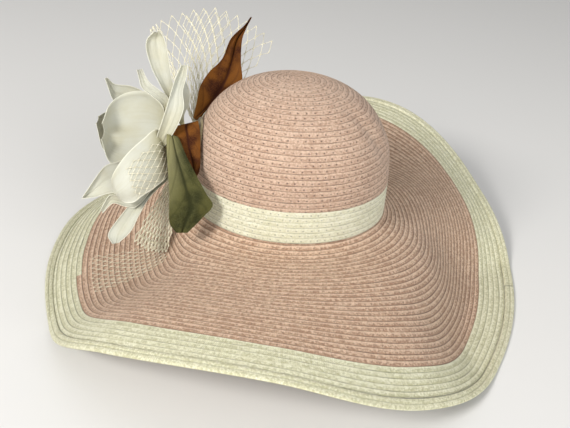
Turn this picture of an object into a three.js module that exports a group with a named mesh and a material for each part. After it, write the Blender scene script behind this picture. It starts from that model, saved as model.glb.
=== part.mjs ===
// A wide-brimmed tea party hat of sewn straw braid, with a silk magnolia, leaves and a net veil.
// Millimetres, +Z up. The hat rests on the two drooping sides of its brim.

import * as THREE from 'three';

// Head and crown: an oval wall, wider along X, that closes in a dome.
const crownHalfWidth = 94;
const crownHalfDepth = 85;
const crownHeight = 123;
const crownWallHeight = 25;
const domeRise = 2.6;
const domeRound = 2.25;

// Braid: every row of plait shows this much of its width.
const rowPitch = 5.2;
const bandRows = 6;
const brimRows = 27;
const borderRows = 5;
const edgeRows = 2;
const strawThickness = 2;
const edgeThickness = 3.6;
const seam = 0.3;
const edgeSeam = 1;

// The brim leaves the crown in a short turn, then follows its sections.
const footHeight = 84;
const footGap = 1.2;
const footTurn = 35;
const footTurnReach = 14;
const settleWidth = 3;
const brimSegments = 60;
const crownSegments = 48;

// Brim sections: the fall in degrees near the crown, halfway out and at the edge.
const brimSections = [
  { azimuth: 0, near: 26, middle: 46, edge: -22 },
  { azimuth: 30, near: 5, middle: 20, edge: 6 },
  { azimuth: 60, near: 12, middle: -22, edge: 0 },
  { azimuth: 90, near: -32, middle: 12, edge: 14 },
  { azimuth: 120, near: 0, middle: 38, edge: 50 },
  { azimuth: 150, near: 20, middle: 30, edge: 34 },
  { azimuth: 180, near: 66, middle: 12, edge: 38 },
  { azimuth: 210, near: 62, middle: 8, edge: 46 },
  { azimuth: 240, near: 11, middle: -3, edge: 20 },
  { azimuth: 270, near: -2, middle: -2, edge: 9 },
  { azimuth: 300, near: 0, middle: 23, edge: 32 },
  { azimuth: 330, near: 14, middle: 51, edge: -28 },
];
const sectionPlaces = [0.2, 0.6, 1];

// The flower's own frame: X right, Y up and Z forward, leaning as the flower leans.
const flowerPlace = [-114, -20, 60];
const flowerLean = 29.5;
const flowerRoll = 4.5;
const petalThickness = 1;
const petalEnd = 0.8;
const petalColumns = 6;
const petalRows = 8;
const petalNarrow = 0.1;
const petalTaper = 1.5;

// Petals and leaves, in the flower's frame. Each starts on the cup of the flower's base: turn is
// the way round it, 0 in front and 90 above, and seat is how far down its side. left and right
// are the half widths seen from the front, widest is where along the rib they are reached, and
// cup is how far the rims come forward. lift is the height of the seat over the base.
const petals = [
  { name: 'petal_cup', turn: 170, seat: 0.15, lift: 1, middle: [-34, 11, -18], tip: [-58, 8, 6],
    left: 32, right: 36, widest: 0.64, round: 0.62, cup: 13, stalk: 1.6 },
  { name: 'petal_behind', turn: 180, seat: 0.54, lift: 2.8, middle: [-40, 12, -36], tip: [-71, 14, -24],
    left: 30, right: 20, widest: 0.66, round: 0.6, cup: 6, stalk: 1.6 },
  { name: 'petal_spike', turn: 140, seat: 0.54, lift: 3.4, middle: [-31, 40, -28], tip: [-60, 63, -20],
    left: 12, right: 12, widest: 0.5, round: 0.9, cup: 4, stalk: 1.6 },
  { name: 'petal_curl', turn: 80, seat: 0.26, lift: 2.4, middle: [-8, 42, 3], tip: [-27, 68, 4],
    left: 7, right: 7, widest: 0.42, round: 0.8, cup: 3, stalk: 1.6 },
  { name: 'petal_top', turn: 88, seat: 0.51, lift: 2.1, middle: [-1, 58, -9], tip: [-11, 102, -10],
    left: 9, right: 10, widest: 0.7, round: 0.5, cup: 5, stalk: 1.6 },
  { name: 'petal_shadow', turn: 108, seat: 0.59, lift: 2.2, middle: [15, 43, -20], tip: [9, 76, -26],
    left: 9, right: 9, widest: 0.5, round: 0.7, cup: -2, stalk: 1.6 },
  { name: 'petal_right', turn: 350, seat: 0.34, lift: 2.8, middle: [-1, 31, 22], tip: [17, 69, 10],
    left: 7, right: 9, widest: 0.5, round: 0.7, cup: 4, stalk: 1.6 },
  { name: 'petal_front', turn: 312, seat: 0.42, lift: 2.0, middle: [-24, -22, 34], tip: [-45, -46, 20],
    left: 25, right: 22, widest: 0.55, round: 0.55, cup: -6, stalk: 1.6 },
  { name: 'petal_left', turn: 262, seat: 0.20, lift: 1.1, middle: [-44, -32, 6], tip: [-77, -52, 6],
    left: 13, right: 12, widest: 0.55, round: 0.9, cup: 4, stalk: 1.6 },
  { name: 'petal_low', turn: 278, seat: 0.41, lift: 0.9, middle: [-31, -42, 12], tip: [-58, -66, 14],
    left: 6, right: 7, widest: 0.6, round: 0.8, cup: 3, stalk: 1.6 },
  { name: 'petal_hanging', turn: 284, seat: 0.59, lift: 1.8, middle: [-20, -54, 6], tip: [-47, -92, 22],
    left: 10, right: 11, widest: 0.6, round: 0.6, cup: 4, stalk: 1.6 },
];
const leaves = [
  { name: 'leaf_upper', turn: 125, seat: 0.92, lift: 3.6, middle: [38, 64, -50], tip: [76, 124, -44],
    left: 13, right: 10, widest: 0.52, round: 1.1, cup: 5, stalk: 1.6 },
  { name: 'leaf_side', turn: 76, seat: 0.9, lift: 3.0, middle: [17, 2, 16], tip: [24, -33, 17],
    left: 7, right: 6, widest: 0.36, round: 0.5, cup: 2, stalk: 1.6 },
  { name: 'leaf_lower', turn: 20, seat: 0.45, lift: 2.2, middle: [9, -33, 38], tip: [20, -80, 30],
    left: 25, right: 13, widest: 0.78, round: 0.5, cup: -5, stalk: 2.2 },
];
const leafThickness = 1;

// The backing that carries the flower: an oval pad on the crown's side that rises to a cup.
const padAzimuth = 189;
const padHeight = 60;
const padHalfLength = 27;
const padHalfHeight = 21;
const padThickness = 2;
const cupRise = 25;
const cupReach = 0.64;
const baseGap = 0.7;

// The veil: net cut through in diamond cells, as wide as it is fine.
const strandShare = 0.26;
const netThickness = 0.8;
const fan = { cells: 7, rows: 8, turn: 165, seat: 0.9, lift: 1.3, firstAngle: 117, sweep: 68,
  stalk: 3, reach: 112, bulge: 10, pleats: 5, pleatDepth: 4, lean: 54 };
const wrap = { cells: 3, rows: 5, across: [0.2, 0.6], along: [0.1, 0.62], lift: 2.6 };
const skirt = { cells: 4, rows: 7, turn: 235, sweep: 60, seat: 0.86, lift: 1.1, brimTurn: 190,
  brimSweep: 11, brimReach: 92, brimSlant: 48, brimLift: 4.3, bulge: 16 };

const brimWidth = (brimRows + borderRows + edgeRows) * rowPitch;
const bandHeight = bandRows * rowPitch;
const profileSteps = brimRows + borderRows + edgeRows;

const pinkStraw = { color: 0xd8a994, roughness: 0.75 };
const creamStraw = { color: 0xe6e3c4, roughness: 0.7 };
const silk = { color: 0xe9e8d2, roughness: 0.85 };
const brownVelvet = { color: 0x7b5a35, roughness: 0.95 };
const greenVelvet = { color: 0x5d5a36, roughness: 0.9 };
const netThread = { color: 0xe8e6d2, roughness: 0.6 };
const feltPad = { color: 0xb9ad8c, roughness: 0.95 };

const clamp = THREE.MathUtils.clamp;
const radians = THREE.MathUtils.degToRad;

// A closed solid from numbered points and quads; a quad with two equal corners is a triangle.
function solidFrom(name, points, faces, finish) {
  const positions = [];
  const indices = [];
  for (const point of points) {
    positions.push(point.x, point.y, point.z);
  }
  let volume = 0;
  for (const face of faces) {
    const corners = face.filter((corner, place) => corner !== face[(place + 1) % face.length]);
    for (let step = 1; step + 1 < corners.length; step += 1) {
      const triangle = [corners[0], corners[step], corners[step + 1]];
      indices.push(...triangle);
      const [a, b, c] = triangle.map((corner) => points[corner]);
      volume += a.dot(b.clone().cross(c));
    }
  }
  if (volume < 0) {
    indices.reverse();
  }
  const geometry = new THREE.BufferGeometry();
  geometry.setAttribute('position', new THREE.Float32BufferAttribute(positions, 3));
  geometry.setIndex(indices);
  geometry.computeVertexNormals();
  const mesh = new THREE.Mesh(geometry, new THREE.MeshStandardMaterial(finish));
  mesh.name = name;
  return mesh;
}

// A sheet of straw, silk or felt with a wall: pointAt(u, v) is its middle surface.
// ring joins the sheet's first and last columns, pole closes its last row in one point, and
// narrow takes the direction of the wall at both ends from a little further in.
function sheet(name, finish, pointAt, options) {
  const { across, along, thickness, ring = false, pole = false, narrow = 0 } = options;
  const columns = ring ? across : across + 1;
  const points = [];
  const faces = [];
  const nudge = 1e-3;
  const surface = (u, v) => pointAt(ring ? u - Math.floor(u) : clamp(u, 0, 1), clamp(v, 0, 1));
  for (const side of [0.5, -0.5]) {
    for (let j = 0; j <= along; j += 1) {
      for (let i = 0; i < columns; i += 1) {
        const u = i / across;
        const v = j / along;
        const near = clamp(v, narrow, 1 - Math.max(narrow, pole ? nudge : 0));
        const alongU = surface(ring ? u + nudge : Math.min(u + nudge, 1), near)
          .sub(surface(ring ? u - nudge : Math.max(u - nudge, 0), near));
        const alongV = surface(u, Math.min(near + nudge, 1)).sub(surface(u, Math.max(near - nudge, 0)));
        const normal = alongU.cross(alongV).normalize();
        if (pole && j === along) {
          normal.set(0, 0, Math.sign(normal.z));
        }
        points.push(surface(u, v).addScaledVector(normal, side * thickness));
      }
    }
  }
  const layer = columns * (along + 1);
  const at = (i, j, side) => side * layer + j * columns + (pole && j === along ? 0 : i % columns);
  for (let j = 0; j < along; j += 1) {
    for (let i = 0; i < across; i += 1) {
      faces.push([at(i, j, 0), at(i + 1, j, 0), at(i + 1, j + 1, 0), at(i, j + 1, 0)]);
      faces.push([at(i, j, 1), at(i, j + 1, 1), at(i + 1, j + 1, 1), at(i + 1, j, 1)]);
    }
  }
  for (let i = 0; i < across; i += 1) {
    faces.push([at(i, 0, 0), at(i, 0, 1), at(i + 1, 0, 1), at(i + 1, 0, 0)]);
    if (!pole) {
      faces.push([at(i, along, 0), at(i + 1, along, 0), at(i + 1, along, 1), at(i, along, 1)]);
    }
  }
  for (let j = 0; j < along && !ring; j += 1) {
    faces.push([at(0, j, 0), at(0, j + 1, 0), at(0, j + 1, 1), at(0, j, 1)]);
    faces.push([at(across, j, 0), at(across, j, 1), at(across, j + 1, 1), at(across, j + 1, 0)]);
  }
  const used = new Map();
  const kept = [];
  const numbered = faces.map((face) => face.map((corner) => {
    if (!used.has(corner)) {
      used.set(corner, kept.length);
      kept.push(points[corner]);
    }
    return used.get(corner);
  }));
  return solidFrom(name, kept, numbered, finish);
}

// The crown's outer size at a height above its foot, as a share of its size at the foot.
function domeShare(height) {
  const rise = clamp((height - crownWallHeight) / (crownHeight - crownWallHeight), 0, 1);
  return (1 - rise ** domeRise) ** (1 / domeRound);
}

// A point of the crown's outer face.
function crownPoint(azimuth, height, outward = 0) {
  const share = domeShare(height);
  return new THREE.Vector3(
    (crownHalfWidth * share + outward) * Math.cos(azimuth),
    (crownHalfDepth * share + outward) * Math.sin(azimuth),
    footHeight + height,
  );
}

// A section's three falls at any azimuth, smoothed between the table's rows.
function sectionFalls(azimuth) {
  const turns = azimuth / (2 * Math.PI);
  const place = (turns - Math.floor(turns)) * brimSections.length;
  const first = Math.floor(place);
  const rest = place - first;
  const row = (offset) => brimSections[(first + offset + brimSections.length) % brimSections.length];
  return ['near', 'middle', 'edge'].map((column) => {
    const [before, from, to, after] = [-1, 0, 1, 2].map((offset) => row(offset)[column]);
    return 0.5 * (2 * from + (to - before) * rest
      + (2 * before - 5 * from + 4 * to - after) * rest ** 2
      + (3 * from - before - 3 * to + after) * rest ** 3);
  });
}

// The brim's fall in degrees at a share of its width, from the three falls of its section.
function fallAt(falls, share) {
  const [near, middle, edge] = falls;
  const [atNear, atMiddle, atEdge] = sectionPlaces;
  let fall = near;
  if (share > atNear) {
    fall = near * (share - atMiddle) * (share - atEdge) / ((atNear - atMiddle) * (atNear - atEdge))
      + middle * (share - atNear) * (share - atEdge) / ((atMiddle - atNear) * (atMiddle - atEdge))
      + edge * (share - atNear) * (share - atMiddle) / ((atEdge - atNear) * (atEdge - atMiddle));
  }
  const turn = Math.exp(-((share * brimWidth / footTurnReach) ** 2));
  return fall * (1 - turn) + footTurn * turn;
}

// The lowest parts are laid flat on the resting plane, with a soft bend on each side.
function settle(height) {
  if (height > settleWidth) {
    return height;
  }
  return height < -settleWidth ? 0 : (height + settleWidth) ** 2 / (4 * settleWidth);
}

// A point of the brim's middle surface, a distance out along its section.
function brimPoint(azimuth, distance, thickness = strawThickness) {
  const falls = sectionFalls(azimuth);
  const step = brimWidth / profileSteps;
  const whole = Math.min(Math.floor(distance / step), profileSteps - 1);
  let reach = 0;
  let drop = 0;
  for (let row = 0; row <= whole; row += 1) {
    const length = row < whole ? step : distance - whole * step;
    const fall = radians(fallAt(falls, (row + 0.5) / profileSteps));
    reach += length * Math.cos(fall);
    drop += length * Math.sin(fall);
  }
  const out = new THREE.Vector2(
    crownHalfDepth * Math.cos(azimuth),
    crownHalfWidth * Math.sin(azimuth),
  ).normalize();
  return new THREE.Vector3(
    (crownHalfWidth - strawThickness / 2) * Math.cos(azimuth) + out.x * reach,
    (crownHalfDepth - strawThickness / 2) * Math.sin(azimuth) + out.y * reach,
    settle(footHeight - footGap - drop - thickness / 2) + thickness / 2,
  );
}

// A ring of the brim between two distances from the crown.
function brimRing(name, finish, inner, outer, steps, thickness = strawThickness) {
  return sheet(name, finish, (u, v) => {
    return brimPoint(u * 2 * Math.PI, inner + (outer - inner) * v, thickness);
  }, { across: brimSegments, along: steps, thickness, ring: true });
}

function crown() {
  const low = bandHeight + seam;
  return sheet('crown', pinkStraw, (u, v) => {
    const height = low + (crownHeight - low) * Math.sin(v * Math.PI / 2);
    return crownPoint(u * 2 * Math.PI, height, -strawThickness / 2);
  }, { across: crownSegments, along: 9, thickness: strawThickness, ring: true, pole: true });
}

function crownBand() {
  return sheet('crown_band', creamStraw, (u, v) => {
    return crownPoint(u * 2 * Math.PI, seam + (bandHeight - seam) * v, -strawThickness / 2);
  }, { across: crownSegments, along: 2, thickness: strawThickness, ring: true });
}

function brim() {
  const width = brimRows * rowPitch;
  return brimRing('brim', pinkStraw, 0, width - seam, 8);
}

function brimBorder() {
  const inner = brimRows * rowPitch;
  const outer = inner + borderRows * rowPitch;
  return brimRing('brim_border', creamStraw, inner + seam, outer - seam, 2);
}

function brimEdge() {
  const inner = (brimRows + borderRows) * rowPitch;
  return brimRing('brim_edge', creamStraw, inner + edgeSeam, brimWidth, 1, edgeThickness);
}

// The flower's frame as it sits in the hat's.
const flowerFrame = new THREE.Matrix4()
  .makeTranslation(flowerPlace[0], flowerPlace[1], footHeight + flowerPlace[2])
  .multiply(new THREE.Matrix4().makeRotationX(radians(90 - flowerLean)))
  .multiply(new THREE.Matrix4().makeRotationZ(radians(flowerRoll)));

// The flower's base follows the crown's side, and rises to a round cup in its middle.
// share goes from its middle to its rim, turn round it, and lift is added to its face.
function basePoint(turn, share, lift, outer = true) {
  const azimuth = radians(padAzimuth) + padHalfLength * share * Math.cos(turn) / crownHalfWidth;
  const height = padHeight + padHalfHeight * share * Math.sin(turn);
  const climb = Math.sqrt(Math.max(0, 1 - (share / cupReach) ** 2));
  return crownPoint(azimuth, height, baseGap + lift + (outer ? padThickness + cupRise * climb : 0));
}

// A petal or leaf: a rib from its seat through two points, with its own width, round end
// and cupped rims.
function petalPoint(petal, u, v) {
  const base = seatPoint(petal.turn, petal.seat, petal.lift);
  const rib = new THREE.CatmullRomCurve3(
    [base, new THREE.Vector3(...petal.middle), new THREE.Vector3(...petal.tip)],
  );
  const along = rib.getTangent(clamp(v, 0.001, 0.999));
  const across = along.clone().cross(new THREE.Vector3(0, 0, 1)).normalize();
  const forward = across.clone().cross(along).normalize();
  const peak = Math.log(0.5) / Math.log(petal.widest);
  const swell = Math.max(Math.sin(Math.PI * v ** peak), 0) ** petal.round;
  const side = 2 * u - 1;
  const stalk = petal.stalk * (1 - v) + petalEnd;
  const half = Math.max(swell * (side < 0 ? petal.left : petal.right), stalk);
  const rimLift = petal.cup * swell * (side * side - 0.3);
  return rib.getPoint(v)
    .addScaledVector(across, side * half)
    .addScaledVector(forward, rimLift);
}

// A petal or leaf as a sheet, with its rows closer together towards the tip.
function petalSheet(petal, finish, thickness) {
  return sheet(petal.name, finish, (u, v) => petalPoint(petal, u, 1 - (1 - v) ** petalTaper), {
    across: petalColumns, along: petalRows, thickness, narrow: petalNarrow,
  });
}

// The base is one plain solid: its inner face lies along the crown with a small gap.
function flowerBase() {
  const points = [];
  const faces = [];
  const rings = 6;
  const spokes = 16;
  for (const outer of [false, true]) {
    for (let ring = 0; ring <= rings; ring += 1) {
      for (let spoke = 0; spoke < (ring === 0 ? 1 : spokes); spoke += 1) {
        points.push(basePoint(spoke / spokes * 2 * Math.PI, ring / rings, 0, outer));
      }
    }
  }
  const layer = 1 + rings * spokes;
  const at = (ring, spoke, side) => {
    return side * layer + (ring === 0 ? 0 : 1 + (ring - 1) * spokes + spoke % spokes);
  };
  for (let spoke = 0; spoke < spokes; spoke += 1) {
    const next = spoke + 1;
    for (let ring = 0; ring < rings; ring += 1) {
      faces.push([at(ring, spoke, 0), at(ring, next, 0), at(ring + 1, next, 0), at(ring + 1, spoke, 0)]);
      faces.push([at(ring, spoke, 1), at(ring + 1, spoke, 1), at(ring + 1, next, 1), at(ring, next, 1)]);
    }
    faces.push([at(rings, spoke, 0), at(rings, next, 0), at(rings, next, 1), at(rings, spoke, 1)]);
  }
  return solidFrom('flower_base', points, faces, feltPad);
}

// Net: diamond cells in staggered rows over a surface, each cut through.
function netSheet(name, cells, rows, surface) {
  const points = [];
  const faces = [];
  const numbers = new Map();
  const edges = new Map();
  const place = (u, v) => surface(clamp(u / (2 * cells), 0, 1), clamp(v / (rows + 1), 0, 1));
  const nudge = 0.02;
  const add = (key, u, v) => {
    if (!numbers.has(key)) {
      const alongU = place(u + nudge, v).sub(place(u - nudge, v));
      const alongV = place(u, v + nudge).sub(place(u, v - nudge));
      const normal = alongU.cross(alongV).normalize();
      numbers.set(key, points.length);
      points.push(place(u, v).addScaledVector(normal, netThickness / 2));
      points.push(place(u, v).addScaledVector(normal, -netThickness / 2));
    }
    return numbers.get(key);
  };
  for (let row = 0; row < rows; row += 1) {
    const odd = row % 2;
    for (let cell = 0; cell < cells - odd; cell += 1) {
      const centreU = 2 * cell + 1 + odd;
      const centreV = row + 1;
      const corners = [[0, -1], [1, 0], [0, 1], [-1, 0]];
      const outer = corners.map(([du, dv]) => {
        return add(`${centreU + du},${centreV + dv}`, centreU + du, centreV + dv);
      });
      const hole = 1 - strandShare;
      const inner = corners.map(([du, dv], corner) => {
        return add(`${centreU},${centreV},${corner}`, centreU + hole * du, centreV + hole * dv);
      });
      for (let corner = 0; corner < 4; corner += 1) {
        const next = (corner + 1) % 4;
        const [a, b, c, d] = [outer[corner], outer[next], inner[next], inner[corner]];
        faces.push([a, b, c, d]);
        faces.push([a + 1, d + 1, c + 1, b + 1]);
        faces.push([d, c, c + 1, d + 1]);
        const key = a < b ? `${a},${b}` : `${b},${a}`;
        if (edges.has(key)) {
          edges.delete(key);
        } else {
          edges.set(key, [a, a + 1, b + 1, b]);
        }
      }
    }
  }
  faces.push(...edges.values());
  return solidFrom(name, points, faces, netThread);
}

// A point of the flower base's face, in the flower's frame.
function seatPoint(turn, share, lift) {
  return basePoint(radians(turn), share, lift).applyMatrix4(flowerFrame.clone().invert());
}

// The veil's fan stands up behind the flower and spreads from a bunch.
function veilFan() {
  const bunch = seatPoint(fan.turn, fan.seat, fan.lift);
  return netSheet('veil_fan', fan.cells, fan.rows, (u, v) => {
    const angle = radians(fan.firstAngle - fan.sweep * u);
    const reach = fan.stalk + (fan.reach + fan.bulge * Math.sin(u * Math.PI)) * v;
    const pleat = fan.pleatDepth * v * Math.sin(u * fan.pleats * Math.PI);
    return new THREE.Vector3(
      bunch.x + reach * Math.cos(angle),
      bunch.y + reach * Math.sin(angle),
      bunch.z + pleat - fan.lean * Math.sqrt(v),
    );
  });
}

// The veil's wrap lies over the front petal.
function veilWrap() {
  const front = petals.find((petal) => petal.name === 'petal_front');
  return netSheet('veil_wrap', wrap.cells, wrap.rows, (u, v) => {
    const point = petalPoint(front, wrap.across[0] + wrap.across[1] * u, wrap.along[0] + wrap.along[1] * v);
    point.z += wrap.lift;
    return point;
  });
}

// The veil's skirt falls from under the flower onto the brim.
function veilSkirt() {
  const toFlower = flowerFrame.clone().invert();
  return netSheet('veil_skirt', skirt.cells, skirt.rows, (u, v) => {
    const azimuth = radians(skirt.brimTurn + skirt.brimSweep * u);
    const low = brimPoint(azimuth, skirt.brimReach - skirt.brimSlant * u).applyMatrix4(toFlower);
    low.y += skirt.brimLift;
    const point = seatPoint(skirt.turn + skirt.sweep * u, skirt.seat, skirt.lift).lerp(low, v);
    point.z += skirt.bulge * v * (1 - v);
    return point;
  });
}

const hat = new THREE.Group();
hat.add(crown(), crownBand(), brim(), brimBorder(), brimEdge(), flowerBase());

const flower = new THREE.Group();
flowerFrame.decompose(flower.position, flower.quaternion, flower.scale);
for (const petal of petals) {
  flower.add(petalSheet(petal, silk, petalThickness));
}
for (const leaf of leaves) {
  flower.add(petalSheet(leaf, leaf.name === 'leaf_lower' ? greenVelvet : brownVelvet, leafThickness));
}
flower.add(veilFan(), veilWrap(), veilSkirt());
hat.add(flower);

// The origin is under the middle of the whole hat, on the surface it rests on.
hat.updateMatrixWorld(true);
const extent = new THREE.Box3().setFromObject(hat, true);
const middle = extent.getCenter(new THREE.Vector3());
hat.position.set(-middle.x, -middle.y, -extent.min.z);

export default hat;
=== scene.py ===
import bpy
import math
import numpy as np
from mathutils import Matrix, Vector


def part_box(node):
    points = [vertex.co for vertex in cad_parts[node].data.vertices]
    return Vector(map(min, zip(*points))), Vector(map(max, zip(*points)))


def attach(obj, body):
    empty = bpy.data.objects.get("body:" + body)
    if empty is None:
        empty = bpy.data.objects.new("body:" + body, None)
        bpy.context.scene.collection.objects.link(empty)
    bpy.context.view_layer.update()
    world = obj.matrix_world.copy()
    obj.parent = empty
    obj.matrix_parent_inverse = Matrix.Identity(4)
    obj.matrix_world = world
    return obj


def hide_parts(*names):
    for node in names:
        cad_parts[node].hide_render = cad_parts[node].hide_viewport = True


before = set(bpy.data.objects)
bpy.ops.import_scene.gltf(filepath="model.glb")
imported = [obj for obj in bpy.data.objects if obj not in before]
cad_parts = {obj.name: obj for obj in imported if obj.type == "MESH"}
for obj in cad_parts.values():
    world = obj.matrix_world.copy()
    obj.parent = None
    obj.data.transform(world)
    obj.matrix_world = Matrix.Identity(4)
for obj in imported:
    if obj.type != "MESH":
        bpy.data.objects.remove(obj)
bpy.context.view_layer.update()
mm = 0.001

# The hat's own place: the crown's axis, and the height of its foot above the table.
bandLow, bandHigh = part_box("crown_band")
axisX = (bandLow.x + bandHigh.x) / 2
axisY = (bandLow.y + bandHigh.y) / 2
seamGap = 0.3  # mm between two pieces
footZ = bandLow.z / mm - seamGap


def toHat(points):  # from mm round the crown's axis, above its foot, to metres in the row frame
    return np.asarray(points, float) * mm + np.array([axisX, axisY, footZ * mm])


def unit(directions):
    return directions / np.maximum(np.linalg.norm(directions, axis=-1, keepdims=True), 1e-9)


# Small helpers for meshes
def deselectAll():
    for item in bpy.context.selected_objects:
        item.select_set(False)


def makeActive(item):
    deselectAll()
    item.select_set(True)
    bpy.context.view_layer.objects.active = item


def applyModifiers(item):
    makeActive(item)
    for modifier in list(item.modifiers):
        bpy.ops.object.modifier_apply(modifier=modifier.name)


def smoothShade(item, angle=40):
    makeActive(item)
    bpy.ops.object.shade_smooth_by_angle(angle=math.radians(angle))


def meshPiece(name, points, faces, uvs):
    mesh = bpy.data.meshes.new(name)
    mesh.from_pydata([tuple(p) for p in points], [], [tuple(f) for f in faces])
    layer = mesh.uv_layers.new(name="Cloth")
    corners = np.zeros(len(mesh.loops), int)
    mesh.loops.foreach_get("vertex_index", corners)
    layer.data.foreach_set("uv", np.asarray(uvs, float)[corners].ravel())
    mesh.update()
    item = bpy.data.objects.new(name, mesh)
    bpy.context.scene.collection.objects.link(item)
    return item


def gridFaces(rows, columns, ring=False):  # a ring's last column joins its first
    faces = []
    last = columns if ring else columns - 1
    for j in range(rows - 1):
        for i in range(last):
            k = (i + 1) % columns
            faces.append((j * columns + i, j * columns + k, (j + 1) * columns + k, (j + 1) * columns + i))
    return faces


def editAll(item, change):  # one operator in edit mode, on the whole mesh
    makeActive(item)
    bpy.ops.object.mode_set(mode="EDIT")
    bpy.ops.mesh.select_all(action="SELECT")
    change()
    bpy.ops.object.mode_set(mode="OBJECT")


def mergePoints(item):  # where rings shrink to a point, they share it
    editAll(item, lambda: bpy.ops.mesh.remove_doubles(threshold=0.01 * mm))


def shell(item, thickness):  # gives a sheet its wall
    wall = item.modifiers.new("Wall", "SOLIDIFY")
    wall.thickness = thickness * mm
    wall.offset = 0
    wall.use_rim = True
    applyModifiers(item)


def finishPiece(item, nodes, material, angle=40):
    item.data.materials.append(material)
    smoothShade(item, angle)
    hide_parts(*nodes)
    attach(item, "root")


# Node trees written as sums
class Socket:
    def __init__(self, tree, out):
        self.tree, self.out = tree, out

    def math(self, operation, *others):
        return self.tree.node("ShaderNodeMath", {"operation": operation}, dict(enumerate((self,) + others)))

    def __add__(self, other): return self.math("ADD", other)
    def __radd__(self, other): return self.math("ADD", other)
    def __sub__(self, other): return self.math("SUBTRACT", other)
    def __rsub__(self, other): return (self * -1) + other
    def __mul__(self, other): return self.math("MULTIPLY", other)
    def __rmul__(self, other): return self.math("MULTIPLY", other)
    def __truediv__(self, other): return self.math("DIVIDE", other)
    def __mod__(self, other): return self.math("FLOORED_MODULO", other)


class Tree:
    def __init__(self, name):
        self.material = bpy.data.materials.new(name)
        self.material.use_nodes = True
        self.nodes = self.material.node_tree.nodes
        self.links = self.material.node_tree.links
        self.shader = self.nodes["Principled BSDF"]

    def node(self, kind, settings=None, inputs=None, output=0):
        made = self.nodes.new(kind)
        for key, value in (settings or {}).items():
            setattr(made, key, value)
        for key, value in (inputs or {}).items():
            self.feed(made.inputs[key], value)
        return Socket(self, made.outputs[output])

    def feed(self, socket, value):
        if isinstance(value, Socket):
            self.links.new(value.out, socket)
        else:
            socket.default_value = value

    def mixColour(self, factor, first, second):
        return self.node("ShaderNodeMix", {"data_type": "RGBA"}, {0: factor, 6: first, 7: second}, 2)

    def layers(self, tone, *coats):  # each coat's colour goes over what lies below, by its factor
        for factor, coat in coats:
            tone = self.mixColour(factor, tone, coat)
        return tone

    def noise(self, vector, scale, detail=2.0, roughness=0.5):
        return self.node("ShaderNodeTexNoise", {}, {"Vector": vector, "Scale": scale, "Detail": detail,
                                                    "Roughness": roughness})

    def vector(self, x, y, z):
        return self.node("ShaderNodeCombineXYZ", {}, {0: x, 1: y, 2: z})

    def scatter(self, x, y, z):  # a random share for each cell of a grid
        return self.node("ShaderNodeTexWhiteNoise", {}, {"Vector": self.vector(x, y, z)})

    def ramp(self, value, start, end, low, high):  # a smooth step from low to high, between start and end
        return self.node("ShaderNodeMapRange", {"interpolation_type": "SMOOTHSTEP"},
                         {0: value, 1: start, 2: end, 3: low, 4: high})

    def onCloth(self):  # the two directions of the piece's own map
        part = self.node("ShaderNodeSeparateXYZ", {}, {0: self.node("ShaderNodeUVMap", {"uv_map": "Cloth"})})
        return part, Socket(self, part.out.node.outputs[1])

    def onPiece(self):
        return self.node("ShaderNodeTexCoord", {}, {}, "Object")

    def surface(self, **values):
        for key, value in values.items():
            self.feed(self.shader.inputs[key.replace("_", " ")], value)

    def bump(self, relief, strength):  # relief in mm
        self.surface(Normal=self.node("ShaderNodeBump", {}, {"Strength": strength, "Distance": mm,
                                                             "Height": relief}))


def colour(r, g, b):  # screen values, 0 to 255, to linear light
    def linear(c):
        c = c / 255
        return c / 12.92 if c <= 0.04045 else ((c + 0.055) / 1.055) ** 2.4
    return (linear(r), linear(g), linear(b), 1.0)


# The straw's forms: crown and brim, in mm round the crown's axis
form = {
    "crownHalfWidth": 94, "crownHalfDepth": 85, "crownHeight": 123,
    "wallHeight": 25, "domeRise": 2.6, "domeRound": 2.25,  # where the dome starts, and how full it is
    "strawWall": 2.0,
    "footGap": 1.2, "footTurn": 35, "footTurnReach": 14,   # the brim's start, and its first slope
    "settleWidth": 3,                                      # how softly the brim lies on the surface
    "rowPitch": 5.2, "bandRows": 6, "brimRows": 27, "borderRows": 5, "edgeRows": 2,
}
brimSections = [  # every 30 degrees: fall near the crown, halfway out and at the edge
    (26, 46, -22), (5, 20, 6), (12, -22, 0), (-32, 12, 14), (0, 38, 50), (20, 30, 34),
    (66, 12, 38), (62, 8, 46), (11, -3, 20), (-2, -2, 9), (0, 23, 32), (14, 51, -28),
]
sectionPlaces = (0.2, 0.6, 1.0)
brimRowsAll = form["brimRows"] + form["borderRows"] + form["edgeRows"]
brimWidth = brimRowsAll * form["rowPitch"]
bandHeight = form["bandRows"] * form["rowPitch"]


def domeShare(height):
    rise = np.clip((height - form["wallHeight"]) / (form["crownHeight"] - form["wallHeight"]), 0, 1)
    return (1 - rise ** form["domeRise"]) ** (1 / form["domeRound"])


def crownPoint(azimuth, height, outward=0.0):
    share = domeShare(height)
    return np.stack([
        (form["crownHalfWidth"] * share + outward) * np.cos(azimuth),
        (form["crownHalfDepth"] * share + outward) * np.sin(azimuth),
        height + 0 * azimuth,
    ], -1)


def sectionFalls(azimuth):  # smooth between the table's rows, as in the solid
    table = np.array(brimSections, float)
    count = len(table)
    place = (azimuth / (2 * math.pi) % 1) * count
    first = np.floor(place).astype(int)
    rest = (place - first)[..., None]
    before, start, end, after = (table[(first + k) % count] for k in (-1, 0, 1, 2))
    return 0.5 * (2 * start + (end - before) * rest
                  + (2 * before - 5 * start + 4 * end - after) * rest ** 2
                  + (3 * start - before - 3 * end + after) * rest ** 3)


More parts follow.
